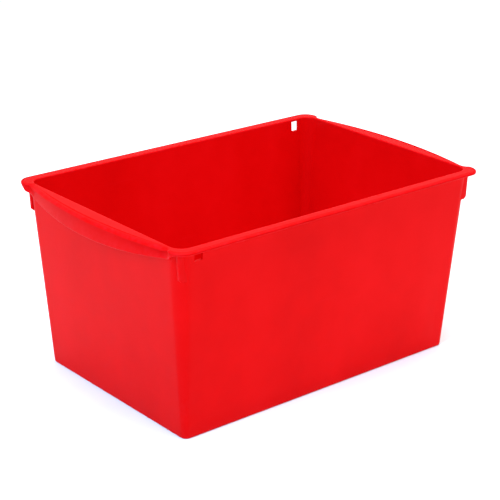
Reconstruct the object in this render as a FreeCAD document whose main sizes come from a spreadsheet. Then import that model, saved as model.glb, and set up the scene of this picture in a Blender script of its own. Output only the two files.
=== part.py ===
"""Open-top book bin for a library shelf: a tapered plastic tub with a flat rim, a bowed
finger grip across each end, a stacking lug under each corner and two interlock windows.

The real bin is one injection moulding.  It is written here as thirteen regions that meet
face to face, so that every wall, corner, rim and grip is a simple solid of its own.

Frame: millimetres, +X along the long side, +Y across, +Z up, origin at the middle of the
face that the bin stands on.
"""
import FreeCAD, Part
import os
import Sketcher

SIZES = {
    # overall form
    "overall_height": 178.0,
    "base_length": 313.0,        # outside, at the foot
    "base_width": 204.0,
    "mouth_length": 336.0,       # inside, at the top
    "mouth_width": 222.0,
    "wall": 2.5,
    "floor_thickness": 3.0,
    "foot_corner_radius": 6.0,   # outside of the upright corners, which widen upwards
    "top_corner_radius": 14.0,
    "foot_bevel": 1.5,           # outside, where the walls meet the base
    "inner_foot_bevel": 1.5,
    "base_recess": 1.0,          # the bin stands on a ring, the middle of its base is raised
    "foot_ring_width": 9.0,
    # rim
    "rim_thickness": 2.5,
    "rim_overhang": 8.0,         # beyond the long walls
    "rim_edge_radius": 1.2,
    "tab_reach": 5.5,            # the rim's corners, beyond the end walls
    "tab_width": 17.5,
    "tab_radius": 13.0,
    "tab_inner_radius": 2.0,
    "corner_zone": 15.0,         # least length of wall that belongs to each corner
    # grips
    "grip_reach": 14.5,          # at the middle, beyond the end walls
    "grip_end_reach": 1.5,       # where the grip runs into the rim's corners
    "grip_depth": 17.0,          # at the middle, down from the rim's top
    "grip_end_depth": 9.0,
    "grip_wall": 2.5,
    "grip_bend_radius": 3.5,
    # stacking lugs
    "lug_height": 26.0,
    "lug_thickness": 3.0,
    "lug_side_inset": 2.3,       # from the long wall's outside, at the top
    "lug_end_inset": 1.5,        # from the end wall's outside, at the top
    "lug_lean": 1.5,             # inwards, down its outer edge
    "lug_slant": 2.2,            # width and height of the slant under its outer edge
    # interlock windows
    "window_width": 8.7,
    "window_height": 10.0,
    "window_inset": 16.5,        # from the end wall's outside to the window
}

# what follows from the driving sizes
DERIVED = {
    "shell_top": "overall_height - rim_thickness",
    "top_length": "mouth_length + 2 * wall",
    "top_width": "mouth_width + 2 * wall",
    "rim_width": "top_width + 2 * rim_overhang",
    "half_mouth_length": "mouth_length / 2",
    "half_mouth_width": "mouth_width / 2",
    "half_rim_width": "rim_width / 2",
    # the shell is divided where its walls are flat from foot to rim, whichever way they lean
    "zone_x": "min( base_length ; top_length ) / 2 - corner_zone",
    "zone_y": "min( base_width ; top_width ) / 2 - corner_zone",
    "outside": "overall_height + base_length + base_width",
    "middle": "0",
    "tab_x": "top_length / 2 + tab_reach",
    "tab_y": "half_rim_width - tab_width",
    "sole_length": "base_length - 2 * foot_bevel",
    "sole_width": "base_width - 2 * foot_bevel",
    "sole_radius": "foot_corner_radius - foot_bevel",
    # the hollow's straight sides start just above the floor, part of the way up the taper
    "hollow_z": "floor_thickness + inner_foot_bevel",
    "hollow_share": "(hollow_z - foot_bevel) / (shell_top - foot_bevel)",
    "hollow_length": "base_length + (top_length - base_length) * hollow_share - 2 * wall",
    "hollow_width": "base_width + (top_width - base_width) * hollow_share - 2 * wall",
    "corner_spread": "top_corner_radius - foot_corner_radius",
    "hollow_radius": "foot_corner_radius + corner_spread * hollow_share - wall",
    "mouth_radius": "top_corner_radius - wall",
    "floor_length": "hollow_length - 2 * inner_foot_bevel",
    "floor_width": "hollow_width - 2 * inner_foot_bevel",
    "floor_radius": "hollow_radius - inner_foot_bevel",
    "recess_length": "base_length - 2 * foot_ring_width",
    "recess_width": "base_width - 2 * foot_ring_width",
    # a grip's plan is an arc through its two ends and its middle
    "grip_x": "top_length / 2 + grip_reach",
    "grip_end_x": "top_length / 2 + grip_end_reach",
    "grip_bow": "grip_reach - grip_end_reach",
    "grip_radius": "(tab_y * tab_y + grip_bow * grip_bow) / (2 * grip_bow)",
    "grip_inner_radius": "grip_radius - grip_wall",
    "grip_centre_x": "grip_x - grip_radius",
    "grip_inner_x": "grip_centre_x + sqrt(grip_inner_radius * grip_inner_radius - tab_y * tab_y)",
    "grip_inner_bow_x": "grip_x - grip_wall",
    # so is its lower edge, seen from the end
    "grip_low_z": "overall_height - grip_depth",
    "grip_end_z": "overall_height - grip_end_depth",
    "grip_sweep": "grip_depth - grip_end_depth",
    "edge_radius": "(tab_y * tab_y + grip_sweep * grip_sweep) / (2 * grip_sweep)",
    # a lug's outline, seen from the long side
    "lug_low_z": "shell_top - lug_height",
    "lug_slant_z": "lug_low_z + lug_slant",
    "lug_root_x": "top_length / 2 - top_corner_radius",
    "lug_top_x": "top_length / 2 - lug_end_inset",
    "lug_edge_x": "lug_top_x - lug_lean",
    "lug_low_x": "lug_edge_x - lug_slant",
    "lug_y": "top_width / 2 - lug_side_inset",
    "window_x": "top_length / 2 - window_inset - window_width",
}

# rounded rectangles that the shell runs between: length, width and corner radius
LEVELS = {
    "sole": ("sole_length", "sole_width", "sole_radius"),
    "foot": ("base_length", "base_width", "foot_corner_radius"),
    "top": ("top_length", "top_width", "top_corner_radius"),
    "floor": ("floor_length", "floor_width", "floor_radius"),
    "hollow": ("hollow_length", "hollow_width", "hollow_radius"),
    "mouth": ("mouth_length", "mouth_width", "mouth_radius"),
}
for level, (length, width, radius) in LEVELS.items():
    for axis, across in (("x", length), ("y", width)):
        DERIVED["%s_%s" % (level, axis)] = "%s / 2" % across
        DERIVED["%s_flat_%s" % (level, axis)] = "%s / 2 - %s" % (across, radius)
        # the middle of a corner's arc, at 45 degrees
        DERIVED["%s_arc_%s" % (level, axis)] = "%s / 2 - %s * (1 - sqrt(0.5))" % (across, radius)

ENDS = {"left": -1, "right": 1}          # signs of X
SIDES = {"near": -1, "far": 1}           # signs of Y

doc = FreeCAD.newDocument("book_bin")
sheet = doc.addObject("Spreadsheet::Sheet", "sizes")


def fill_sheet():
    """One row a size: its name, its value or formula, and an alias that formulas use."""
    rows = [(alias, repr(value)) for alias, value in SIZES.items()]
    rows += [(alias, "=" + formula) for alias, formula in DERIVED.items()]
    for number, (alias, content) in enumerate(rows, start=1):
        sheet.set("A%d" % number, alias)
        sheet.set("B%d" % number, content)
        sheet.setAlias("B%d" % number, alias)
    doc.recompute()


def size(alias):
    """The value of one size, as a number."""
    return float(sheet.get(alias))


def in_sheet(formula):
    """A formula in the aliases' words, with each alias tied to the sheet."""
    words = formula.replace("(", " ( ").replace(")", " ) ").split()
    known = set(SIZES) | set(DERIVED)
    return " ".join("sizes." + word if word in known else word for word in words)


def bind(feature, **formulas):
    """Tie properties of a feature to formulas; two underscores stand for a dot."""
    for prop, formula in formulas.items():
        feature.setExpression(prop.replace("__", "."), in_sheet(formula))


def mirrored(formula, sign):
    """The formula itself, or its negative."""
    return formula if sign > 0 else "-1 * ( %s )" % formula


def turned(alias, sign):
    """An alias as an outline's coordinate, with a minus sign before it on the negative side."""
    return alias if sign > 0 else "-" + alias


def coordinate(word):
    """The value and the formula of an outline's coordinate."""
    sign = -1 if word.startswith("-") else 1
    alias = word.lstrip("-")
    return sign * size(alias), mirrored(alias, sign)


# ---------------------------------------------------------------- PartDesign helpers

def new_body(label):
    body = doc.addObject("PartDesign::Body", label)
    body.Label = label
    return body


def round_edges(body, label, radius, wanted):
    """Fillet those edges of a body whose middle point and direction pass a test."""
    doc.recompute()
    tip = body.Tip
    names = []
    for number, edge in enumerate(tip.Shape.Edges, start=1):
        first, last = edge.ParameterRange
        middle = (first + last) / 2
        if wanted(edge.valueAt(middle), edge.tangentAt(middle)):
            names.append("Edge%d" % number)
    if not names:
        raise RuntimeError("no edges to round for " + label)
    fillet = body.newObject("PartDesign::Fillet", label)
    fillet.Base = (tip, names)
    bind(fillet, Radius=radius)
    doc.recompute()


def plane_sketch(body, label, role, height=None):
    """A sketch on one of the body's own planes, lifted by a formula where one is given."""
    sketch = body.newObject("Sketcher::SketchObject", label)
    plane = [f for f in body.Origin.OriginFeatures if f.Role == role][0]
    sketch.AttachmentSupport = [(plane, "")]
    sketch.MapMode = "FlatFace"
    if height:
        bind(sketch, AttachmentOffset__Base__z=height)
    return sketch


def draw_outline(sketch, corners, arcs=None):
    """A closed outline through corners, each a pair of coordinates, by straight lines.

    arcs holds, for a side that is an arc, {number of its first corner: (alias of its radius,
    a point that it passes)}.  Every corner and radius is tied to the sheet."""
    arcs = arcs or {}

    def point(words):
        return FreeCAD.Vector(*(coordinate(word)[0] for word in words), 0)

    points = [point(corner) for corner in corners]
    last = len(points) - 1
    starts = []
    for number, start in enumerate(points):
        end = points[0 if number == last else number + 1]
        if number in arcs:
            through = point(arcs[number][1])
            side = sketch.addGeometry(Part.Arc(start, through, end))
            # an arc runs anticlockwise, so its own start may be the outline's end
            forward = sketch.getPoint(side, 1).distanceToPoint(start) < 0.001
            starts.append((side, 1 if forward else 2))
        else:
            side = sketch.addGeometry(Part.LineSegment(start, end))
            starts.append((side, 1))
    for number, (side, first) in enumerate(starts):
        following, joint = starts[0 if number == last else number + 1]
        sketch.addConstraint(Sketcher.Constraint("Coincident", side, 3 - first, following, joint))
        for kind, word in zip(("DistanceX", "DistanceY"), corners[number]):
            value, formula = coordinate(word)
            tie = sketch.addConstraint(Sketcher.Constraint(kind, -1, 1, side, first, value))
            bind(sketch, **{"Constraints[%d]" % tie: formula})
        if number in arcs:
            radius = sketch.Geometry[side].Radius
            tie = sketch.addConstraint(Sketcher.Constraint("Radius", side, radius))
            bind(sketch, **{"Constraints[%d]" % tie: arcs[number][0]})


def pad_down(body, label, sketch, depth):
    """Fill a sketch downwards by a formula's depth."""
    pad = body.newObject("PartDesign::Pad", label)
    pad.Profile = sketch
    pad.Reversed = True
    bind(pad, Length=depth)
    return pad


# ---------------------------------------------------------------- the tapered shell

def rises(along):
    return abs(along.z) > 0.9


def level_sketch(body, label, level, height):
    """A rounded rectangle of LEVELS at a height."""
    sketch = plane_sketch(body, label, "XY_Plane", height)
    x, flat_x, arc_x = (level + part for part in ("_x", "_flat_x", "_arc_x"))
    y, flat_y, arc_y = (level + part for part in ("_y", "_flat_y", "_arc_y"))
    corners = []
    arcs = {}
    for sign_x, sign_y in ((1, 1), (-1, 1), (-1, -1), (1, -1)):
        ends = [(turned(x, sign_x), turned(flat_y, sign_y)),
                (turned(flat_x, sign_x), turned(y, sign_y))]
        arcs[len(corners)] = (LEVELS[level][2], (turned(arc_x, sign_x), turned(arc_y, sign_y)))
        corners += ends if sign_x == sign_y else reversed(ends)
    draw_outline(sketch, corners, arcs)
    return sketch


def loft(body, kind, label, lower, upper):
    """A form with straight sides between two levels, each a name of LEVELS and a height."""
    form = body.newObject(kind, label)
    form.Profile = level_sketch(body, label + "_lower", *lower)
    form.Sections = [level_sketch(body, label + "_upper", *upper)]
    form.Ruled = True


def add_lug(body, side, end):
    """A plate that stands out from one upright corner along the bin.  Its lower end slants
    up outwards; a bin set on another rests on the four of them."""
    label = "%s_%s_lug" % (side, end)
    sketch = plane_sketch(body, label + "_outline", "XZ_Plane")
    outline = [("lug_root_x", "lug_low_z"), ("lug_low_x", "lug_low_z"),
               ("lug_edge_x", "lug_slant_z"), ("lug_top_x", "shell_top"),
               ("lug_root_x", "shell_top")]
    draw_outline(sketch, [(turned(x, ENDS[end]), z) for x, z in outline])
    # the sketch's own normal points to -Y
    bind(sketch, AttachmentOffset__Base__z=mirrored("lug_y", -SIDES[side]))
    plate = body.newObject("PartDesign::Pad", label)
    plate.Profile = sketch
    plate.Reversed = SIDES[side] < 0
    bind(plate, Length="lug_thickness")


def make_shell():
    """The tub with its floor and lugs: a lofted block, hollowed, on a recessed base."""
    body = new_body("shell_form")
    loft(body, "PartDesign::AdditiveLoft", "foot_bevel", ("sole", None), ("foot", "foot_bevel"))
    loft(body, "PartDesign::AdditiveLoft", "shell_outside", ("foot", "foot_bevel"),
         ("top", "shell_top"))
    for side in SIDES:
        for end in ENDS:
            add_lug(body, side, end)
    loft(body, "PartDesign::SubtractiveLoft", "shell_inside", ("hollow", "hollow_z"),
         ("mouth", "shell_top"))
    loft(body, "PartDesign::SubtractiveLoft", "inner_bevel", ("floor", "floor_thickness"),
         ("hollow", "hollow_z"))
    recess = body.newObject("PartDesign::SubtractiveBox", "recess")
    bind(recess, Length="recess_length", Width="recess_width", Height="base_recess",
         Placement__Base__x="-1 * recess_length / 2", Placement__Base__y="-1 * recess_width / 2")
    doc.recompute()
    return body


def box_between(label, x_range, y_range, z_range):
    """A box whose three ranges are pairs of formulas."""
    box = doc.addObject("Part::Box", label)
    ranges = (x_range, y_range, z_range)
    for side, axis, (low, high) in zip(("Length", "Width", "Height"), "xyz", ranges):
        bind(box, **{side: "( %s ) - ( %s )" % (high, low), "Placement__Base__" + axis: low})
    return box


def combine(kind, label, first, second):
    """A Part boolean of two objects."""
    result = doc.addObject(kind, label)
    result.Base = first
    result.Tool = second
    return result


def pierce(body):
    """Cut a window for linking bins through the near wall at the left, and, half a turn
    round, through the far wall at the right.  Each reaches up to the underside of the rim."""
    near_left = box_between("near_left_window", (mirrored("window_x + window_width", -1),
                                                 mirrored("window_x", -1)),
                            ("-1 * outside", "0"), WINDOW_Z)
    far_right = box_between("far_right_window", ("window_x", "window_x + window_width"),
                            ("0", "outside"), WINDOW_Z)
    windows = combine("Part::Fuse", "windows", near_left, far_right)
    return combine("Part::Cut", "pierced_shell", body, windows)


def shell_region(label, x_range, y_range, z_range):
    """The part of the shell inside one box."""
    box = box_between(label + "_zone", x_range, y_range, z_range)
    return combine("Part::Common", label, shell, box)


# ---------------------------------------------------------------- rim and grips

def side_rim(label, sign_y):
    """The flat rim along one long wall, with a rounded outer edge."""
    body = new_body(label)
    box = body.newObject("PartDesign::AdditiveBox", label + "_strip")
    low_y = "half_mouth_width" if sign_y > 0 else mirrored("half_rim_width", -1)
    bind(box, Length="2 * zone_x", Width="half_rim_width - half_mouth_width",
         Height="rim_thickness", Placement__Base__x=mirrored("zone_x", -1),
         Placement__Base__y=low_y, Placement__Base__z="shell_top")
    edge_y = sign_y * size("half_rim_width")
    round_edges(body, label + "_edge", "rim_edge_radius",
                lambda p, t: abs(p.y - edge_y) < 0.01 and abs(t.x) > 0.9)
    return body


def end_grip(label, sign_x):
    """One end of the rim: a bowed grip that turns down to a lip, deepest at its middle,
    and a flat tab at each end of it that rounds the rim's corner."""
    body = new_body(label)

    def across(alias):
        return turned(alias, sign_x)

    def both_sides(pairs):
        """Corners on the near side, then the same on the far side in reverse."""
        near = [(across(x), turned(y, -1)) for x, y in pairs]
        far = [(across(x), y) for x, y in reversed(pairs)]
        return near + far

    outer_bow = ("grip_radius", (across("grip_x"), "middle"))
    inner_bow = ("grip_inner_radius", (across("grip_inner_bow_x"), "middle"))
    top = plane_sketch(body, label + "_plan", "XY_Plane", "overall_height")
    draw_outline(top, both_sides([("half_mouth_length", "tab_y"), ("grip_end_x", "tab_y")]),
                 {1: outer_bow})
    pad_down(body, label + "_plate", top, "rim_thickness")
    band = plane_sketch(body, label + "_band", "XY_Plane", "overall_height")
    draw_outline(band, both_sides([("grip_inner_x", "tab_y"), ("grip_end_x", "tab_y")]),
                 {1: outer_bow, 3: inner_bow})
    pad_down(body, label + "_lip", band, "grip_depth")

    sweep = plane_sketch(body, label + "_sweep", "YZ_Plane")
    under = [("-half_rim_width", "middle"), ("half_rim_width", "middle"),
             ("half_rim_width", "grip_end_z"), ("tab_y", "grip_end_z"),
             ("-tab_y", "grip_end_z"), ("-half_rim_width", "grip_end_z")]
    draw_outline(sweep, under, {3: ("edge_radius", ("middle", "grip_low_z"))})
    cut = body.newObject("PartDesign::Pocket", label + "_lower_edge")
    cut.Profile = sweep
    cut.Type = "ThroughAll"
    cut.Midplane = True
    grip_x = sign_x * size("grip_x")
    top_z = size("overall_height")
    round_edges(body, label + "_bend", "grip_bend_radius",
                lambda p, t: abs(p.x - grip_x) < 0.01 and abs(p.z - top_z) < 0.01)

    tabs = plane_sketch(body, label + "_tabs_plan", "XY_Plane", "overall_height")
    tab_plan = [("half_mouth_length", "half_mouth_width"), ("zone_x", "half_mouth_width"),
                ("zone_x", "half_rim_width"), ("tab_x", "half_rim_width"),
                ("tab_x", "tab_y"), ("half_mouth_length", "tab_y")]
    for sign_y in SIDES.values():
        draw_outline(tabs, [(across(x), turned(y, sign_y)) for x, y in tab_plan])
    pad_down(body, label + "_tabs", tabs, "rim_thickness")

    def upright_at(x, y):
        return lambda p, t: rises(t) and abs(p.x - sign_x * x) < 0.01 and abs(abs(p.y) - y) < 0.01

    tab_x = size("tab_x")
    round_edges(body, label + "_tab_corners", "tab_radius",
                upright_at(tab_x, size("half_rim_width")))
    round_edges(body, label + "_tab_steps", "tab_inner_radius", upright_at(tab_x, size("tab_y")))
    round_edges(body, label + "_mouth", "mouth_radius",
                upright_at(size("half_mouth_length"), size("half_mouth_width")))
    return body


# ---------------------------------------------------------------- assembly

# ranges that divide the shell, by the sign of the side
X_ZONE = {-1: ("-1 * outside", "-1 * zone_x"), 0: ("-1 * zone_x", "zone_x"),
          1: ("zone_x", "outside")}
Y_ZONE = {-1: ("-1 * outside", "-1 * zone_y"), 0: ("-1 * zone_y", "zone_y"),
          1: ("zone_y", "outside")}
WHOLE = ("-1 * outside", "outside")
FLOOR_Z = ("0", "floor_thickness")
WALL_Z = ("floor_thickness", "shell_top")
WINDOW_Z = ("shell_top - window_height", "shell_top")

fill_sheet()
shell = pierce(make_shell())
nodes = {"floor_panel": shell_region("floor_panel", WHOLE, WHOLE, FLOOR_Z)}
for side, sign_y in SIDES.items():
    name = side + "_side_wall"
    nodes[name] = shell_region(name, X_ZONE[0], Y_ZONE[sign_y], WALL_Z)
    nodes[side + "_side_rim"] = side_rim(side + "_side_rim", sign_y)
for end, sign_x in ENDS.items():
    name = end + "_end_wall"
    nodes[name] = shell_region(name, X_ZONE[sign_x], Y_ZONE[0], WALL_Z)
    # the lip runs out beside the corner's round, so it is cut to meet it face to face
    grip = end_grip(end + "_grip_body", sign_x)
    nodes[end + "_end_grip"] = combine("Part::Cut", end + "_end_grip", grip, shell)
for side, sign_y in SIDES.items():
    for end, sign_x in ENDS.items():
        name = "%s_%s_corner" % (side, end)
        nodes[name] = shell_region(name, X_ZONE[sign_x], Y_ZONE[sign_y], WALL_Z)
for name, node in nodes.items():
    node.Label = name

doc.recompute()
for item in doc.Objects:
    if "Invalid" in item.State or "Error" in item.State:
        raise RuntimeError("%s failed: %s" % (item.Label, item.State))
for name, node in nodes.items():
    if node.Shape.isNull() or not node.Shape.isValid():
        raise RuntimeError(name + " has no valid shape")

os.makedirs("parts", exist_ok=True)
for name, node in nodes.items():
    node.Shape.exportStep("parts/%s.step" % name)
    print("%-20s %8.1f mm3" % (name, node.Shape.Volume))
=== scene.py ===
"""The looks of an open-top book bin: thirteen regions of one red moulding, its corner lugs,
satin polypropylene, a pale floor, soft lights and a camera.

Frame: metres, +X along the long side, +Y across, +Z up, origin under the middle of the base.
"""
import math

import bpy
import numpy as np
from mathutils import Matrix, Vector


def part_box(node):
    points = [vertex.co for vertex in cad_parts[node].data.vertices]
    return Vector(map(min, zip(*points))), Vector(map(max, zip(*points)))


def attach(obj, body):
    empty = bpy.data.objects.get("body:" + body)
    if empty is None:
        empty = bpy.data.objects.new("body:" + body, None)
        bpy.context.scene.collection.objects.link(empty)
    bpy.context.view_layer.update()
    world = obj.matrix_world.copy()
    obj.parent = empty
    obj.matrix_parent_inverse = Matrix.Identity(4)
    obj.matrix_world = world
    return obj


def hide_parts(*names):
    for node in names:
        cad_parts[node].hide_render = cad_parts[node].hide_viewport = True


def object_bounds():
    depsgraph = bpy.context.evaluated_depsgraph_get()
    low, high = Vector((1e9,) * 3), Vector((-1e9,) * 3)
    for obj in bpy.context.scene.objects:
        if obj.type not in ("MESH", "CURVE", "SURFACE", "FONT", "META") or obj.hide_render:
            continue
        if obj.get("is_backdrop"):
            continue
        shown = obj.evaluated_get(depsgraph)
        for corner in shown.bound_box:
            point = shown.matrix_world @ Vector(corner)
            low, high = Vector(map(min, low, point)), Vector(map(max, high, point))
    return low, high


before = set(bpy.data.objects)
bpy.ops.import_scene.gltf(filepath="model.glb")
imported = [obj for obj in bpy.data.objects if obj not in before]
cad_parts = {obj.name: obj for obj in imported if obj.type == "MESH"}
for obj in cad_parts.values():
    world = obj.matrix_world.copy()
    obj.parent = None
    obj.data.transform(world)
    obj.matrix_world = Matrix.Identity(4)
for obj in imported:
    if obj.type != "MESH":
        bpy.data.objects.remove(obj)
cad_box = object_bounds()

# ---------------------------------------------------------------- sizes from the frame

MM = 0.001
ENDS = {"left": -1, "right": 1}          # signs of X
SIDES = {"near": -1, "far": 1}           # signs of Y


def high(node):
    """The highest corner of a CAD node as x, y, z."""
    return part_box(node)[1]


FLOOR_TOP = high("floor_panel").z
SHELL_TOP = high("right_end_wall").z
HEIGHT = high("far_side_rim").z
ZONE_X = high("far_side_wall").x         # where the long walls end and the corners begin
ZONE_Y = high("right_end_wall").y
TOP_X = high("right_end_wall").x         # half the shell's outside, at its top
TOP_Y = high("far_side_wall").y
RIM_Y = high("far_side_rim").y
GRIP_X = high("right_end_grip").x
MOUTH_Y = -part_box("near_side_rim")[1].y  # half the mouth
WALL = TOP_Y - MOUTH_Y
MOUTH_X = TOP_X - WALL

# the model's own sizes that no box gives
FOOT_Z = 1.5 * MM                        # where the straight taper starts
FOOT_X = 156.5 * MM
FOOT_Y = 102.0 * MM
FOOT_CORNER = 6.0 * MM
TOP_CORNER = 14.0 * MM
MOUTH_CORNER = TOP_CORNER - WALL
TAB_X = 176.0 * MM
TAB_Y = 104.0 * MM
TAB_CORNER = 13.0 * MM
BOW_END_X = 172.0 * MM
GRIP_DEPTH = 17.0 * MM
GRIP_END_DEPTH = 9.0 * MM
LIP = 2.5 * MM
WINDOW = (145.3 * MM, 154.0 * MM)        # from and to, in X
WINDOW_SILL = 165.5 * MM
LUG_Y = (108.2 * MM, 111.2 * MM)
LUG_LOW_Z = 149.5 * MM
LUG_SLANT_Z = 151.7 * MM
LUG_LOW_X = 165.3 * MM
LUG_EDGE_X = 167.5 * MM
LUG_TOP_X = 169.0 * MM
LUG_EDGE = 0.7 * MM                      # round of a lug's upright edges
LUG_ROOT = 0.9 * MM                      # how far a lug's plate runs into the corner
PLAIN_LOW_Z = 8.0 * MM                   # the evenly divided stretch of the walls
PLAIN_HIGH_Z = 158.0 * MM
WALL_FLARE = 1.1 * MM                    # round outside, under the rim
WALL_FOOT = 2.2 * MM                     # round inside, at the floor
CREASE_RISE = 0.42 * MM
CREASE_REACH = 75.0 * MM                 # from its line towards the wall's middle
CREASE_FOOT = (132.0 * MM, 8.0 * MM)     # X and Z of the two ends of its line
CREASE_TOP = (103.0 * MM, 152.0 * MM)
FOOT_ROUND = 2.0 * MM
RECESS = 1.0 * MM                        # under the floor, inside the foot ring
FOOT_RING = 9.0 * MM
FLOOR_DISC = 14.0 * MM                   # radius of the round middle of the floor
RIM_EDGE = 0.9 * MM                      # round of the rim at the mouth
LIP_EDGE = 1.1 * MM                      # round of the lip's lower edge, at most
LIP_BACK = 0.9 * MM                      # rounds inside the lip, at most
GRIP_BEND = 3.6 * MM                     # the bend over the grip
SHARP_FROM = math.radians(32)


# ---------------------------------------------------------------- mesh helpers

def lerp(a, b, t):
    return a + (b - a) * t


def smooth(x):
    """0 below 0, 1 above 1, and 3x2 - 2x3 between."""
    x = np.clip(x, 0.0, 1.0)
    return x * x * (3.0 - 2.0 * x)


def moulding(name, points, faces, wear=None):
    """A mesh object from points and faces, with its normals turned outwards and its edges
    sharp where the faces meet at a steep angle.  wear is how rubbed each point is, 0 to 1."""
    mesh = bpy.data.meshes.new(name)
    mesh.from_pydata(np.asarray(points, float).tolist(), [], faces)
    mesh.validate()
    rubbed = mesh.attributes.new("wear", "FLOAT", "POINT")
    if wear is not None:
        rubbed.data.foreach_set("value", np.asarray(wear, np.float32).ravel())
    obj = bpy.data.objects.new(name, mesh)
    bpy.context.scene.collection.objects.link(obj)
    bpy.context.view_layer.objects.active = obj
    for other in bpy.context.selected_objects:
        other.select_set(False)
    obj.select_set(True)
    bpy.ops.object.mode_set(mode="EDIT")
    bpy.ops.mesh.select_all(action="SELECT")
    bpy.ops.mesh.remove_doubles(threshold=1e-6)
    bpy.ops.mesh.normals_make_consistent(inside=False)
    bpy.ops.object.mode_set(mode="OBJECT")
    mesh.shade_smooth()
    mesh.set_sharp_from_angle(angle=SHARP_FROM)
    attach(obj, "root")
    return obj


def loop_grid(rows, columns, open_cell=None):
    """Quads of a grid whose rows form a closed loop.  open_cell(k, j) says which are left out."""
    faces = []
    for k in range(rows):
        following = (k + 1) % rows
        for j in range(columns - 1):
            if open_cell and open_cell(k, j):
                continue
            faces.append((k * columns + j, k * columns + j + 1,
                          following * columns + j + 1, following * columns + j))
    return faces


def end_caps(rows, columns):
    """The two faces that close the ends of a grid whose rows form a closed loop."""
    return [[k * columns for k in range(rows)],
            [k * columns + columns - 1 for k in reversed(range(rows))]]


def bar(points):
    """Faces of a bar: points is (profile, length, 3), the profile a closed loop, capped at
    both ends."""
    rows, columns = points.shape[:2]
    return points.reshape(-1, 3), loop_grid(rows, columns) + end_caps(rows, columns)


def arc_steps(first, last, count):
    """Angles from first to last in degrees, as an array of radians."""
    return np.radians(np.linspace(first, last, count))


# ---------------------------------------------------------------- the tapered shell

def level(z):
    """Half length, half width and corner radius of the shell's outside at a height: each
    grows in proportion to height from the foot to the top."""
    t = (z - FOOT_Z) / (SHELL_TOP - FOOT_Z)
    return (lerp(FOOT_X, TOP_X, t), lerp(FOOT_Y, TOP_Y, t), lerp(FOOT_CORNER, TOP_CORNER, t))


def wall_profile():
    """The wall's closed section as heights and distances in from the outside: up the outside,
    flared under the rim by a quarter circle, down the inside, and out by a quarter circle
    where it meets the floor."""
    outer_z = [FLOOR_TOP, *np.linspace(PLAIN_LOW_Z, PLAIN_HIGH_Z, 21), WINDOW_SILL]
    turn = arc_steps(0, 90, 6)
    flare_z = SHELL_TOP - WALL_FLARE + WALL_FLARE * np.sin(turn)
    flare_d = -WALL_FLARE * (1 - np.cos(turn))
    inner_z = [SHELL_TOP, WINDOW_SILL, *np.linspace(PLAIN_HIGH_Z, PLAIN_LOW_Z, 21)]
    turn = arc_steps(0, 90, 7)
    foot_z = FLOOR_TOP + WALL_FOOT * (1 - np.sin(turn))
    foot_d = WALL + WALL_FOOT * (1 - np.cos(turn))
    z = np.concatenate([outer_z, flare_z, inner_z, foot_z])
    d = np.concatenate([np.zeros(len(outer_z)), flare_d, np.full(len(inner_z), WALL), foot_d])
    return z, d


WALL_Z, WALL_D = wall_profile()
SILL_ROWS = [k for k in range(len(WALL_Z)) if abs(WALL_Z[k] - WINDOW_SILL) < 1e-9]


def crease(x, z):
    """How far a long wall stands out along its slanting crease: a ridge that falls off in
    straight lines to both sides, faded out at its top and foot."""
    share = (z - CREASE_FOOT[1]) / (CREASE_TOP[1] - CREASE_FOOT[1])
    line = lerp(CREASE_FOOT[0], CREASE_TOP[0], share)
    inner = 1 - (line - x) / CREASE_REACH
    outer = 1 - (x - line) / (ZONE_X - line)
    ridge = np.clip(np.minimum(inner, outer), 0, 1)
    fade = smooth((z - FLOOR_TOP) / (14 * MM)) * smooth((PLAIN_HIGH_Z - z) / (26 * MM))
    return CREASE_RISE * ridge * fade


def long_wall(side):
    """A long wall: its section carried along X, each height on its own taper."""
    sign = SIDES[side]
    x = np.linspace(-ZONE_X, ZONE_X, 97)[None, :]
    z = WALL_Z[:, None]
    half_width = level(z)[1]
    # the crease is at the right end of the near wall and the left end of the far one
    out = crease(-sign * x, z) - WALL_D[:, None]
    y = sign * (half_width + out)
    points = np.stack(np.broadcast_arrays(x, y, z), axis=-1)
    return moulding(side + "_side_wall_moulding", *bar(points))


def end_wall(end):
    """An end wall: the same section carried along Y."""
    sign = ENDS[end]
    y = np.linspace(-ZONE_Y, ZONE_Y, 49)[None, :]
    z = WALL_Z[:, None]
    x = sign * (level(z)[0] - WALL_D[:, None])
    points = np.stack(np.broadcast_arrays(x, y, z), axis=-1)
    return moulding(end + "_end_wall_moulding", *bar(points))


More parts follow.
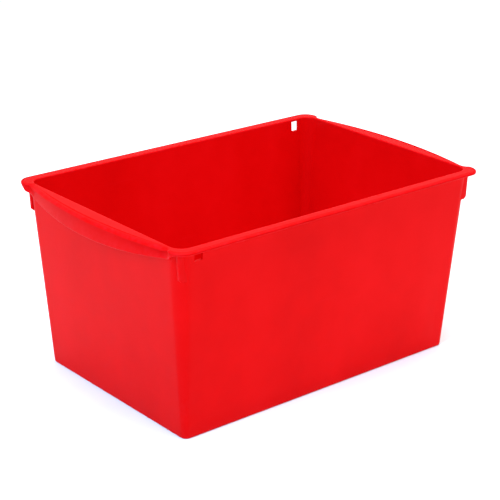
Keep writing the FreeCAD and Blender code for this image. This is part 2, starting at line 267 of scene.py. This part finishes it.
def corner_piece(side, end, with_window):
    """A corner: the section carried along a plan line that runs along X, round an arc whose
    radius grows with height, and along Y.  A window takes cells out of its upper edge."""
    z, d = WALL_Z[:, None], WALL_D[:, None]
    half_x, half_y, radius = (size - d for size in level(z))
    flat_x, flat_y = half_x - radius, half_y - radius
    top_flat = TOP_X - TOP_CORNER
    stops = np.array([ZONE_X, *WINDOW, top_flat])
    share = (stops - ZONE_X) / (top_flat - ZONE_X)
    along = ZONE_X + (flat_x - ZONE_X) * share[None, :]
    angle = arc_steps(90, 0, 21)[None, 1:-1]
    arc_x = flat_x + radius * np.cos(angle)
    arc_y = flat_y + radius * np.sin(angle)
    down = flat_y + (ZONE_Y - flat_y) * np.linspace(0, 1, 4)[None, :]
    x = np.concatenate([along, arc_x, np.broadcast_to(half_x, down.shape)], axis=1)
    y = np.concatenate([np.broadcast_to(half_y, along.shape), arc_y, down], axis=1)
    x, y, z = np.broadcast_arrays(ENDS[end] * x, SIDES[side] * y, z)
    points = np.stack([x, y, z], axis=-1)
    # rubbed along the outside of the round, most near the foot
    wear = np.zeros(x.shape)
    wear[WALL_D <= 0, len(stops):-4] = 0.35
    wear *= smooth((90 * MM - z) / (90 * MM))
    name = "%s_%s_corner_moulding" % (side, end)
    if not with_window:
        return moulding(name, *bar(points), wear)
    rows, columns = points.shape[:2]
    low, high_row = SILL_ROWS
    faces = loop_grid(rows, columns, lambda k, j: j == 1 and low <= k < high_row)
    faces += end_caps(rows, columns)
    faces.append((low * columns + 1, low * columns + 2, high_row * columns + 2,
                  high_row * columns + 1))
    faces.append([k * columns + 1 for k in range(low, high_row + 1)])
    faces.append([k * columns + 2 for k in reversed(range(low, high_row + 1))])
    return moulding(name, points.reshape(-1, 3), faces, wear)


def lug(side, end):
    """A stacking lug: level slices of a plate, each running from inside the corner's wall to
    an outer edge with two rounded corners.  The outer edge slants in below."""
    z = np.array([LUG_LOW_Z, *np.linspace(LUG_LOW_Z + 0.6 * MM, LUG_SLANT_Z, 7),
                  *np.linspace(LUG_SLANT_Z + 3 * MM, SHELL_TOP, 8)])[:, None]
    slanted = lerp(LUG_LOW_X, LUG_EDGE_X, (z - LUG_LOW_Z) / (LUG_SLANT_Z - LUG_LOW_Z))
    leaning = lerp(LUG_EDGE_X, LUG_TOP_X, (z - LUG_SLANT_Z) / (SHELL_TOP - LUG_SLANT_Z))
    edge = np.where(z < LUG_SLANT_Z, slanted, leaning)
    half_x, half_y, radius = level(z)
    inner_y, outer_y = LUG_Y
    turn = arc_steps(0, 90, 5)[None, :]
    bend_x = edge - LUG_EDGE + LUG_EDGE * np.sin(turn)
    far_y = outer_y - LUG_EDGE + LUG_EDGE * np.cos(turn)
    near_y = inner_y + LUG_EDGE - LUG_EDGE * np.cos(turn)

    def root(y):
        """Where a plate's face meets the corner's round, and a little further in."""
        rise = np.clip(y - (half_y - radius), 0, radius)
        return half_x - radius + np.sqrt(radius ** 2 - rise ** 2) - LUG_ROOT

    x = np.concatenate([root(outer_y), bend_x, bend_x[:, ::-1], root(inner_y)], axis=1)
    y = np.concatenate([np.full_like(z, outer_y), np.broadcast_to(far_y, bend_x.shape),
                        np.broadcast_to(near_y[:, ::-1], bend_x.shape),
                        np.full_like(z, inner_y)], axis=1)
    z = np.broadcast_to(z, x.shape)
    points = np.stack([ENDS[end] * x, SIDES[side] * y, z], axis=-1)
    wear = np.zeros(x.shape)
    wear[:, 1:-1] = 0.5
    return moulding("%s_%s_lug" % (side, end), *bar(points.transpose(1, 0, 2)), wear.T)


# ---------------------------------------------------------------- floor

def rounded_rectangle(half_x, half_y, radius, per_arc=10, per_side=12):
    """Plan points around a rounded rectangle, with all three sizes as columns: each corner's
    arc, then points along the straight side that follows it."""
    xs, ys = [], []
    for turn, (sign_x, sign_y) in enumerate(((1, 1), (-1, 1), (-1, -1), (1, -1))):
        angle = arc_steps(90 * turn, 90 * turn + 90, per_arc)[None, :]
        centre_x, centre_y = sign_x * (half_x - radius), sign_y * (half_y - radius)
        xs.append(centre_x + radius * np.cos(angle))
        ys.append(centre_y + radius * np.sin(angle))
        next_x, next_y = ((-1, 1), (-1, -1), (1, -1), (1, 1))[turn]
        share = np.linspace(0, 1, per_side + 2)[None, 1:-1]
        end_x = sign_x * (half_x - radius) + radius * np.cos(angle[:, -1:])
        end_y = sign_y * (half_y - radius) + radius * np.sin(angle[:, -1:])
        start_x = next_x * (half_x - radius) + radius * np.cos(angle[:, -1:])
        start_y = next_y * (half_y - radius) + radius * np.sin(angle[:, -1:])
        xs.append(lerp(end_x, start_x, share))
        ys.append(lerp(end_y, start_y, share))
    return np.concatenate(xs, axis=1), np.concatenate(ys, axis=1)


def floor_piece():
    """The floor: nested rounded rectangles that shrink to circles at the middle, above and
    below.  Below they step down a bevelled edge to a standing ring and round up to the wall;
    the middle has the round scar that the mould's inlet leaves."""
    half_x, half_y, radius = level(FLOOR_TOP)
    rows = [(half_x, half_y, radius, FLOOR_TOP), (FOOT_X, FOOT_Y, FOOT_CORNER, FOOT_ROUND)]
    for angle in arc_steps(12, 90, 7):
        inset = FOOT_ROUND * (1 - math.cos(angle))
        rows.append((FOOT_X - inset, FOOT_Y - inset, FOOT_CORNER - inset,
                     FOOT_ROUND * (1 - math.sin(angle))))
    step_x, step_y, step_r = FOOT_X - FOOT_RING, FOOT_Y - FOOT_RING, 3.5 * MM
    rows += [(step_x + 0.5 * MM, step_y + 0.5 * MM, step_r + 0.5 * MM, 0),
             (step_x + 0.15 * MM, step_y + 0.15 * MM, step_r + 0.15 * MM, 0.15 * MM),
             (step_x - 0.35 * MM, step_y - 0.35 * MM, step_r - 0.35 * MM, RECESS - 0.15 * MM),
             (step_x - 0.7 * MM, step_y - 0.7 * MM, step_r - 0.5 * MM, RECESS)]
    for share in (0.85, 0.6, 0.35, 0.15):
        rows.append((lerp(FLOOR_DISC, step_x, share), lerp(FLOOR_DISC, step_y, share),
                     lerp(FLOOR_DISC, step_r, share), RECESS))
    for size, z in ((12.0, 1.0), (9.5, 1.0), (9.0, 0.85), (8.0, 0.6), (7.5, 0.55), (7.0, 0.6),
                    (6.0, 0.85), (5.5, 1.0), (2.2, 1.0), (1.6, 0.75), (1.1, 0.7)):
        rows.append((size * MM, size * MM, size * MM, z * MM))
    low_count = len(rows)
    for size in (8.0, 14.0):
        rows.append((size * MM, size * MM, size * MM, FLOOR_TOP))
    for share in (0.3, 0.6, 0.85):
        rows.append((lerp(FLOOR_DISC, half_x, share), lerp(FLOOR_DISC, half_y, share),
                     lerp(FLOOR_DISC, radius, share), FLOOR_TOP))
    table = np.array(rows)[:, :, None]
    x, y = rounded_rectangle(table[:, 0], table[:, 1], table[:, 2])
    z = np.broadcast_to(table[:, 3], x.shape)
    points = np.stack([x, y, z], axis=-1)
    count = x.shape[1]
    faces = []
    for k in range(len(rows)):
        following = (k + 1) % len(rows)
        if k == low_count - 1:
            continue
        for j in range(count):
            beside = (j + 1) % count
            faces.append((k * count + j, k * count + beside, following * count + beside,
                          following * count + j))
    faces.append([(low_count - 1) * count + j for j in range(count)])
    faces.append([low_count * count + j for j in reversed(range(count))])
    wear = np.zeros(x.shape)
    wear[1:10] = 0.9
    return moulding("floor_panel_moulding", points.reshape(-1, 3), faces, wear)


# ---------------------------------------------------------------- rim and grips

def rim_points(inner, inner_way, outer, outer_way, depth, bend):
    """The rim's section between two plan lines.  For each pair of points: up the mouth's face
    and round its edge, across the flat, round the outer bend, down to the depth, round the
    lower edge, up the lip's inside to a fillet and back under the flat.

    inner and outer are (2, count) plan points, the ways are unit vectors out of the bin at
    each, depth and bend are (count,)."""
    top, under = HEIGHT, SHELL_TOP
    rows, wears = [], []

    def add(plan, z, wear=0.0):
        z = np.broadcast_to(z, plan.shape[1:])
        rows.append(np.stack([plan[0], plan[1], z], axis=-1))
        wears.append(np.full(z.shape, wear))

    add(inner, under)
    for angle in arc_steps(0, 90, 6):
        add(inner + inner_way * RIM_EDGE * (1 - math.cos(angle)),
            top - RIM_EDGE * (1 - math.sin(angle)), 0.7)
    start = inner + inner_way * RIM_EDGE
    stop = outer - outer_way * bend
    for share in np.linspace(0, 1, 7)[1:-1]:
        add(lerp(start, stop, share), top)
    for angle in arc_steps(90, 0, 9):
        add(outer - outer_way * bend * (1 - math.sin(angle)), top - bend * (1 - math.cos(angle)),
            math.sin(2 * angle))
    drop = depth - (top - under)
    low = top - depth
    turn = np.minimum(LIP_EDGE, 0.5 * (top - bend - low))
    for angle in arc_steps(0, 90, 5):
        add(outer - outer_way * turn * (1 - math.cos(angle)), low + turn * (1 - math.sin(angle)),
            0.8)
    back = np.minimum(LIP_BACK, 0.45 * drop)
    for angle in arc_steps(90, 0, 4):
        add(outer - outer_way * (LIP - back * (1 - math.cos(angle))),
            low + back * (1 - math.sin(angle)))
    for angle in arc_steps(0, 90, 4):
        add(outer - outer_way * (LIP + back * (1 - math.cos(angle))),
            under - back * (1 - math.sin(angle)))
    under_start = outer - outer_way * (LIP + back)
    for share in (0.25, 0.5, 0.75):
        add(lerp(under_start, inner, share), under)
    return np.stack(rows), np.stack(wears)


RIM_BEAD = HEIGHT - SHELL_TOP + 0.35 * MM   # depth of the rim's outer edge along its sides
RIM_BEND = 1.2 * MM


def side_rim(side):
    """The rim along a long wall, its section carried along X."""
    sign = SIDES[side]
    x = np.linspace(-ZONE_X, ZONE_X, 33)
    way = np.stack([np.zeros_like(x), np.full_like(x, sign)])
    inner = np.stack([x, np.full_like(x, sign * MOUTH_Y)])
    outer = np.stack([x, np.full_like(x, sign * RIM_Y)])
    depth, bend = np.full_like(x, RIM_BEAD), np.full_like(x, RIM_BEND)
    points, wear = rim_points(inner, way, outer, way, depth, bend)
    return moulding(side + "_side_rim_moulding", *bar(points), wear)


def rounded_line(corners, radii, spacing):
    """A plan line through corners, each rounded by an arc of its own radius, as points about
    a spacing apart: straight runs between tangent points, and arcs."""
    corners = [np.array(corner, float) for corner in corners]
    out = [corners[0][None, :]]
    place = corners[0]
    for before, corner, after, radius in zip(corners, corners[1:], corners[2:], radii):
        into = (corner - before) / np.linalg.norm(corner - before)
        away = (after - corner) / np.linalg.norm(after - corner)
        turn = math.acos(float(np.clip(into @ away, -1, 1)))
        cut = radius * math.tan(turn / 2)
        first, last = corner - into * cut, corner + away * cut
        count = max(2, int(round(np.linalg.norm(first - place) / spacing)))
        out.append(lerp(place, first, np.linspace(0, 1, count + 1)[1:, None]))
        side = np.sign(into[0] * away[1] - into[1] * away[0])
        centre = first + side * radius * np.array([-into[1], into[0]])
        swing = side * np.linspace(0, turn, max(4, int(radius * turn / spacing) + 4))[1:]
        arm = first - centre
        arc = np.stack([arm[0] * np.cos(swing) - arm[1] * np.sin(swing),
                        arm[0] * np.sin(swing) + arm[1] * np.cos(swing)], axis=-1)
        out.append(centre + arc)
        place = last
    count = max(2, int(round(np.linalg.norm(corners[-1] - place) / spacing)))
    out.append(lerp(place, corners[-1], np.linspace(0, 1, count + 1)[1:, None]))
    return np.concatenate(out)


def spaced(line, count):
    """A line's points again, evenly spaced along its length."""
    length = np.concatenate([[0], np.cumsum(np.linalg.norm(np.diff(line, axis=0), axis=1))])
    place = np.linspace(0, length[-1], count)
    return np.stack([np.interp(place, length, line[:, 0]), np.interp(place, length, line[:, 1])],
                    axis=-1)


def ways_out(line):
    """Unit vectors square to a plan line that runs from +Y round to +X, out of the bin."""
    along = np.gradient(line, axis=0)
    along /= np.linalg.norm(along, axis=1)[:, None]
    return np.stack([-along[:, 1], along[:, 0]], axis=-1)


BOW_RISE = GRIP_X - BOW_END_X
BOW_RADIUS = (TAB_Y ** 2 + BOW_RISE ** 2) / (2 * BOW_RISE)


def bow_x(y):
    """The grip's outside: a circle's arc through its middle and both of its ends."""
    return GRIP_X - BOW_RADIUS + np.sqrt(BOW_RADIUS ** 2 - y ** 2)


def grip_depth(y):
    """How deep the lip hangs: most at the middle, less towards its ends as the square of the
    distance, and run out smoothly under the tabs."""
    bow = lerp(GRIP_DEPTH, GRIP_END_DEPTH, (y / TAB_Y) ** 2)
    run_out = smooth((np.abs(y) - (TAB_Y - 2 * MM)) / (13 * MM))
    return np.maximum(lerp(bow, RIM_BEAD, run_out), RIM_BEAD)


def grip_half():
    """Inner and outer plan points of a quarter of the rim, from the long side's middle plane
    side round the tab and along the bow to its middle."""
    turn_x = MOUTH_X - MOUTH_CORNER
    turn_y = MOUTH_Y - MOUTH_CORNER
    straight = np.linspace(ZONE_X, turn_x, 6)[:-1]
    inner_a = np.stack([straight, np.full_like(straight, MOUTH_Y)], axis=-1)
    outer_a = np.stack([straight, np.full_like(straight, RIM_Y)], axis=-1)
    count = 41
    angle = arc_steps(90, 0, count)
    inner_b = np.stack([turn_x + MOUTH_CORNER * np.cos(angle),
                        turn_y + MOUTH_CORNER * np.sin(angle)], axis=-1)
    bow_at = turn_y
    outer_b = rounded_line([(turn_x, RIM_Y), (TAB_X, RIM_Y), (TAB_X - 0.5 * MM, 106.0 * MM),
                            (bow_x(103.0 * MM), 103.0 * MM), (bow_x(bow_at), bow_at)],
                           [TAB_CORNER, 2.2 * MM, 5.0 * MM], 0.8 * MM)
    outer_b = spaced(outer_b, count)
    y = np.linspace(bow_at, 0, 40)[1:]
    inner_c = np.stack([np.full_like(y, MOUTH_X), y], axis=-1)
    outer_c = np.stack([bow_x(y), y], axis=-1)
    return (np.concatenate([inner_a, inner_b, inner_c]),
            np.concatenate([outer_a, outer_b, outer_c]))


def end_grip(end):
    """One end of the rim: its section carried round both tabs and along the bow."""
    inner, outer = grip_half()
    mirror = np.array([1, -1])
    inner = np.concatenate([inner, (inner * mirror)[-2::-1]])
    outer = np.concatenate([outer, (outer * mirror)[-2::-1]])
    inner_way = ways_out(inner)
    outer_way = ways_out(outer)
    depth = grip_depth(outer[:, 1])
    on_bow = 1 - smooth((np.abs(outer[:, 1]) - (TAB_Y - 8 * MM)) / (10 * MM))
    bend = lerp(RIM_BEND, GRIP_BEND, on_bow)
    points, wear = rim_points(inner.T, inner_way.T, outer.T, outer_way.T, depth, bend)
    points[:, :, 0] *= ENDS[end]
    return moulding(end + "_end_grip_moulding", *bar(points), wear)


# ---------------------------------------------------------------- material

class Wire:
    """A shader socket that reads like a number: its operators add Math nodes."""

    def __init__(self, tree, socket):
        self.tree, self.socket = tree, socket

    def node(self, kind, settings=None, out=0, **sockets):
        """Another node: its settings first, then values or wires for its sockets by name."""
        made = self.tree.nodes.new(kind)
        for name, value in (settings or {}).items():
            if name == "stops":
                fill_ramp(made.color_ramp, value)
            else:
                setattr(made, name, value)
        for name, value in sockets.items():
            key = int(name[1:]) if name[0] == "_" else name.replace("_", " ")
            plug(self.tree, value, made.inputs[key])
        return Wire(self.tree, made.outputs[out])

    def math(self, operation, first, second=0.0, clamp=False):
        return self.node("ShaderNodeMath", {"operation": operation, "use_clamp": clamp},
                         _0=first, _1=second)

    def __add__(self, other):
        return self.math("ADD", self, other)

    def __sub__(self, other):
        return self.math("SUBTRACT", self, other)

    def __mul__(self, other):
        return self.math("MULTIPLY", self, other)

    def __rsub__(self, other):
        return self.math("SUBTRACT", other, self)

    __radd__ = __add__
    __rmul__ = __mul__

    def ramp(self, low, high_value):
        """0 at low, 1 at high, straight between."""
        return self.node("ShaderNodeMapRange", {"clamp": True}, Value=self, From_Min=low,
                         From_Max=high_value)


def plug(tree, value, socket):
    if isinstance(value, Wire):
        tree.links.new(value.socket, socket)
    else:
        socket.default_value = value


def fill_ramp(ramp, stops):
    while len(ramp.elements) < len(stops):
        ramp.elements.new(0.5)
    for element, (position, colour) in zip(ramp.elements, stops):
        element.position = position
        element.color = colour


def red_polypropylene():
    """Satin red polypropylene: fine moulded grain, slow changes of shade where the melt
    flowed, light rubs and hairline scratches, and paler, smoother edges."""
    material = bpy.data.materials.new("red_polypropylene")
    material.use_nodes = True
    tree = material.node_tree
    tree.nodes.clear()
    shader = tree.nodes.new("ShaderNodeBsdfPrincipled")
    output = tree.nodes.new("ShaderNodeOutputMaterial")
    tree.links.new(shader.outputs[0], output.inputs[0])
    place = Wire(tree, tree.nodes.new("ShaderNodeTexCoord").outputs["Object"])

    def noise(scale, detail, roughness=0.5, stretch=(1, 1, 1), vector=place):
        spread = place.node("ShaderNodeMapping", None, Vector=vector, Scale=stretch)
        return place.node("ShaderNodeTexNoise", None, Vector=spread, Scale=scale, Detail=detail,
                          Roughness=roughness)

    flow = noise(9.0, 3.0, stretch=(1.0, 1.0, 0.45))
    blotch = noise(38.0, 4.0, 0.6)
    rubs = noise(60.0, 6.0, 0.7, stretch=(1.0, 1.0, 0.35)).ramp(0.60, 0.80)
    grain = noise(2600.0, 3.0, 0.6)
    pores = place.node("ShaderNodeTexVoronoi", {"feature": "F1"}, Vector=place, Scale=1500.0)
    scratch_way = place.node("ShaderNodeMapping", None, Vector=place, Rotation=(0.5, 0.7, 0.3),
                             Scale=(14.0, 900.0, 900.0))
    scratch = place.node("ShaderNodeTexNoise", None, Vector=scratch_way, Scale=1.0,
                         Detail=2.0).ramp(0.705, 0.76)
    wear = place.node("ShaderNodeAttribute", {"attribute_name": "wear"}, out=2)
    edge = wear * noise(220.0, 4.0, 0.6).ramp(0.42, 0.70)

    deep = (0.640, 0.0007, 0.0011, 1)
    plain = (0.715, 0.0011, 0.0016, 1)
    fresh = (0.775, 0.0022, 0.0034, 1)
    pale = (0.820, 0.0200, 0.0320, 1)
    shade = place.node("ShaderNodeValToRGB",
                       {"stops": ((0.30, deep), (0.50, plain), (0.70, fresh))},
                       Fac=flow * 0.75 + blotch * 0.25)
    colour = place.node("ShaderNodeMix", {"data_type": "RGBA"}, out=2,
                        _0=edge * 0.30 + scratch * 0.16, _6=shade, _7=pale)
    rough = 0.37 + (blotch - 0.5) * 0.10 + rubs * 0.09 + scratch * 0.08 - edge * 0.07
    relief = place.node("ShaderNodeBump", None, Strength=0.16, Distance=0.00004,
                        Height=grain * 0.7 + pores * 0.3)
    waves = place.node("ShaderNodeBump", None, Strength=0.30, Distance=0.0012,
                       Height=noise(13.0, 1.5, 0.4), Normal=relief)
    marks = place.node("ShaderNodeBump", {"invert": True}, Strength=0.25, Distance=0.00002,
                       Height=scratch, Normal=waves)
    plug(tree, colour, shader.inputs["Base Color"])
    plug(tree, rough, shader.inputs["Roughness"])
    plug(tree, marks, shader.inputs["Normal"])
    shader.inputs["IOR"].default_value = 1.49
    shader.inputs["Specular IOR Level"].default_value = 0.03
    return material


def pale_floor():
    """A plain matt floor with a very faint mottle."""
    material = bpy.data.materials.new("pale_floor")
    material.use_nodes = True
    tree = material.node_tree
    shader = tree.nodes["Principled BSDF"]
    place = Wire(tree, tree.nodes.new("ShaderNodeTexCoord").outputs["Object"])
    mottle = place.node("ShaderNodeTexNoise", None, Vector=place, Scale=30.0, Detail=3.0)
    shade = place.node("ShaderNodeValToRGB", {"stops": ((0.3, (0.90, 0.91, 0.92, 1)),
                                                        (0.7, (0.93, 0.935, 0.94, 1)))},
                       Fac=mottle)
    plug(tree, shade, shader.inputs["Base Color"])
    shader.inputs["Roughness"].default_value = 0.85
    shader.inputs["Specular IOR Level"].default_value = 0.15
    return material


# ---------------------------------------------------------------- assembly

WINDOWS_AT = (("near", "left"), ("far", "right"))
pieces = {"floor_panel": floor_piece()}
lugs = []
for side in SIDES:
    pieces[side + "_side_wall"] = long_wall(side)
    pieces[side + "_side_rim"] = side_rim(side)
for end in ENDS:
    pieces[end + "_end_wall"] = end_wall(end)
    pieces[end + "_end_grip"] = end_grip(end)
for side in SIDES:
    for end in ENDS:
        name = "%s_%s_corner" % (side, end)
        pieces[name] = corner_piece(side, end, (side, end) in WINDOWS_AT)
        plate = lug(side, end)
        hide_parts(name)
        lugs.append(plate)
for node, piece in pieces.items():
    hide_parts(node)
plastic = red_polypropylene()
for piece in [*pieces.values(), *lugs]:
    piece.data.materials.append(plastic)

# ---------------------------------------------------------------- stage, lights and camera

bpy.ops.mesh.primitive_plane_add(size=8.0, location=(0, 0, 0))
floor = bpy.context.active_object
floor.name = "studio_floor"
floor.data.materials.append(pale_floor())
floor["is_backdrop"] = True


def aim(obj, target):
    """Turn an object's -Z towards a point."""
    direction = Vector(target) - obj.location
    obj.rotation_euler = direction.to_track_quat("-Z", "Y").to_euler()


def soft_light(name, place, target, size, power, colour=(1, 1, 1)):
    """A square area light aimed at a point."""
    data = bpy.data.lights.new(name, "AREA")
    data.shape = "RECTANGLE"
    data.size, data.size_y = size
    data.energy = power
    data.color = colour
    light = bpy.data.objects.new(name, data)
    bpy.context.scene.collection.objects.link(light)
    light.location = place
    aim(light, target)


soft_light("overhead", (0.1, 0.0, 2.2), (0, 0, 0.1), (1.8, 1.8), 54, (0.90, 1.0, 1.0))
soft_light("left_floor", (-1.1, -0.3, 1.0), (-0.42, 0.0, 0), (0.4, 0.4), 20, (0.22, 0.62, 1.0))
soft_light("front", (0.6, -2.2, 1.2), (0, 0, 0.08), (1.2, 1.0), 7)

world = bpy.data.worlds.new("studio")
world.use_nodes = True
world.node_tree.nodes["Background"].inputs[0].default_value = (0.93, 0.98, 1.0, 1)
world.node_tree.nodes["Background"].inputs[1].default_value = 0.72
bpy.context.scene.world = world
bpy.context.scene.view_settings.view_transform = "Standard"

AZIMUTH = math.radians(-39.92)
ELEVATION = math.radians(21.174)
ROLL = math.radians(0.548)
DISTANCE = 1.46855
RAISED = 0.09733
SENSOR = 36.0
LENS = 3.08276 * SENSOR
back = Vector((math.sin(AZIMUTH) * math.cos(ELEVATION),
               -math.cos(AZIMUTH) * math.cos(ELEVATION), math.sin(ELEVATION)))
level_right = Vector((math.cos(AZIMUTH), math.sin(AZIMUTH), 0))
level_up = back.cross(level_right)
right = level_right * math.cos(ROLL) + level_up * math.sin(ROLL)
up = level_up * math.cos(ROLL) - level_right * math.sin(ROLL)
data = bpy.data.cameras.new("camera")
data.sensor_width = SENSOR
data.lens = LENS
camera = bpy.data.objects.new("camera", data)
bpy.context.scene.collection.objects.link(camera)
turn = Matrix((right, up, back)).transposed().to_4x4()
camera.matrix_world = Matrix.Translation(back * DISTANCE + up * RAISED) @ turn
bpy.context.scene.camera = camera


def plain(value):
    """A box of any nesting as plain lists of numbers."""
    return [plain(v) for v in value] if hasattr(value, "__len__") else float(value)


{"cad": plain(cad_box), "visual": plain(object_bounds())}
